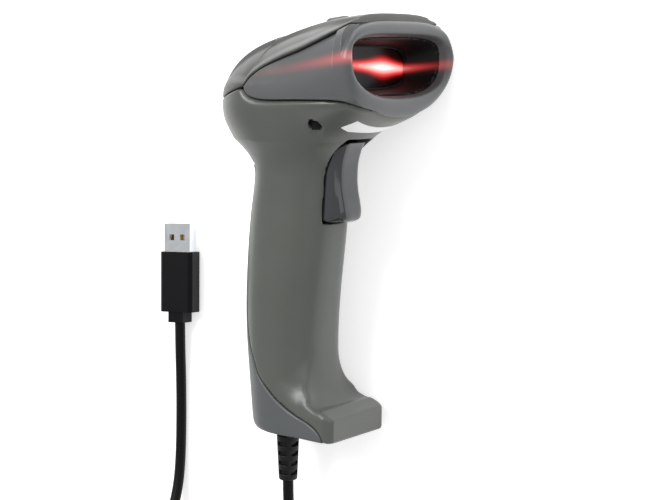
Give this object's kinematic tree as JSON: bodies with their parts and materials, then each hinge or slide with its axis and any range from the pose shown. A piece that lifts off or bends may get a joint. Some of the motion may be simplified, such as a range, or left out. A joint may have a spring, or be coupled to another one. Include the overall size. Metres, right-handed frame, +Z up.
{
  "type": "handheld barcode scanner",
  "caption": "Pistol-grip handheld laser barcode scanner with a trigger, nose window and hollow toe at the base, and a USB cord with its spare length in a tied coil.",
  "frame": {"origin": "on the surface that the scanner lies on, under the middle of the scanner's box without its cord", "axes": "+Z up from the surface, +Y from the handle's base towards the head, +X towards the scanning nose; the scanner lies on its left side"},
  "size_m": [0.1226, 0.2522, 0.0677],
  "materials": {
    "body_plastic": "textured grey ABS",
    "bezel_plastic": "smooth grey ABS",
    "cover_plastic": "smooth blue-grey ABS",
    "trigger_plastic": "glossy dark blue-grey ABS",
    "black_plastic": "matt black",
    "cord_pvc": "satin black PVC",
    "plug_plastic": "satin black PVC",
    "plated_steel": "nickel-plated sheet",
    "spring_steel": "drawn wire",
    "screw_steel": "zinc plated",
    "gold": "gold flash",
    "window_plastic": "dark red tinted acrylic",
    "lens_plastic": "translucent smoke",
    "label_paper": "white polyester label, blank",
    "circuit_board": "green solder mask",
    "chip_epoxy": "black moulding compound",
    "jack_plastic": "black nylon",
    "clear_plastic": "clear polycarbonate",
    "white_plastic": "white PBT",
    "engine_metal": "die-cast",
    "mirror_glass": "first-surface mirror",
    "magnet_metal": "nickel-plated magnet",
    "copper_wire": "enamelled copper",
    "laser_brass": "turned brass",
    "led_plastic": "clear epoxy",
    "ribbon_film": "white flat cable",
    "tie_nylon": "black nylon"
  },
  "bodies": {
    "housing": {"beeper": "jack_plastic", "board_chips": "chip_epoxy", "board_screws": "screw_steel", "cable_jack": "jack_plastic", "cable_tie": "tie_nylon", "coil_bobbin": "white_plastic", "collector_mirror": "mirror_glass", "cord_coil": "cord_pvc", "cord_lead": "cord_pvc", "cord_tail": "cord_pvc", "decoder_board": "circuit_board", "drive_coil": "copper_wire", "engine_board": "circuit_board", "engine_frame": "engine_metal", "engine_screws": "screw_steel", "handle_screws": "screw_steel", "head_screws": "screw_steel", "laser_label": "label_paper", "laser_lens": "led_plastic", "laser_module": "laser_brass", "light_shroud": "black_plastic", "main_body": "body_plastic", "mirror_shaft": "screw_steel", "modular_plug": "clear_plastic", "nose_bezel": "bezel_plastic", "photodiode": "chip_epoxy", "plug_contacts": "gold", "plug_housing": "plug_plastic", "plug_insulator": "white_plastic", "plug_shell": "plated_steel", "rear_cover": "cover_plastic", "ribbon_cable": "ribbon_film", "scan_window": "window_plastic", "status_led": "led_plastic", "status_lens": "lens_plastic", "strain_relief": "cord_pvc", "switch_housing": "jack_plastic", "top_cover": "body_plastic", "trigger_pin": "screw_steel", "trigger_spring": "spring_steel", "window_gasket": "black_plastic"},
    "trigger_body": {"trigger": "trigger_plastic"},
    "plunger": {"switch_plunger": "white_plastic"},
    "mirror": {"mirror_carrier": "black_plastic", "scan_mirror": "mirror_glass", "drive_magnet": "magnet_metal"}
  },
  "joints": [
    {"name": "trigger_pull", "type": "hinge", "parent": "housing", "child": "trigger_body", "pos_m": [0.0056, 0.03721, 0.02734], "axis": [0.1376, 0.0756, -0.9876], "range_deg": [0, 5], "stiffness_Nm_per_rad": 0.25, "springref_deg": -3.44, "deforming": ["trigger_spring"]},
    {"name": "switch_press", "type": "slide", "parent": "housing", "child": "plunger", "axis": [-0.9905, 0.0105, -0.1371], "range_m": [0, 0.0008], "stiffness_N_per_m": 1},
    {"name": "mirror_scan", "type": "hinge", "parent": "housing", "child": "mirror", "pos_m": [-0.00678, 0.06501, 0.02774], "axis": [0, 0.9971, 0.0763], "range_deg": [-12, 12], "stiffness_Nm_per_rad": 0.004}
  ],
  "couplings": [
    {"joint": "switch_press", "follows": "trigger_pull", "m_per_rad": 0.0085}
  ]
}
